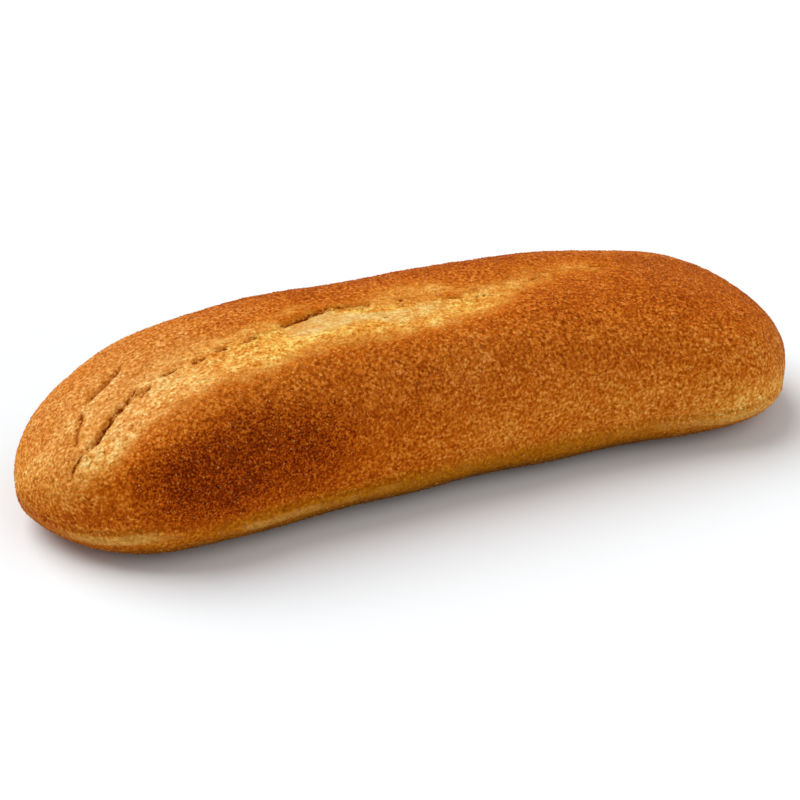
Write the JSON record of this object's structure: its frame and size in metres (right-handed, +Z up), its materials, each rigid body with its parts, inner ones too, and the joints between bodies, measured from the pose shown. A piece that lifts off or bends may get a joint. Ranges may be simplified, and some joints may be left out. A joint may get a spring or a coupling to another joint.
{
  "type": "half baguette",
  "caption": "Short crusty white loaf with rounded ends, a flat base and one long opened cut along the top; a bread for a table, basket, counter or sandwich.",
  "frame": {"origin": "middle of the loaf's box on the plane of its flat base", "axes": "+Z up; +X along the loaf, from the end where the cut runs down the crust to the end where it fades out; -Y is the front"},
  "size_m": [0.24, 0.0786, 0.0502],
  "materials": {
    "crust": "matt browned bread crust, fine-grained, with a pale cream opened cut and a paler foot"
  },
  "bodies": {
    "root": {"loaf": "crust"}
  },
  "joints": []
}
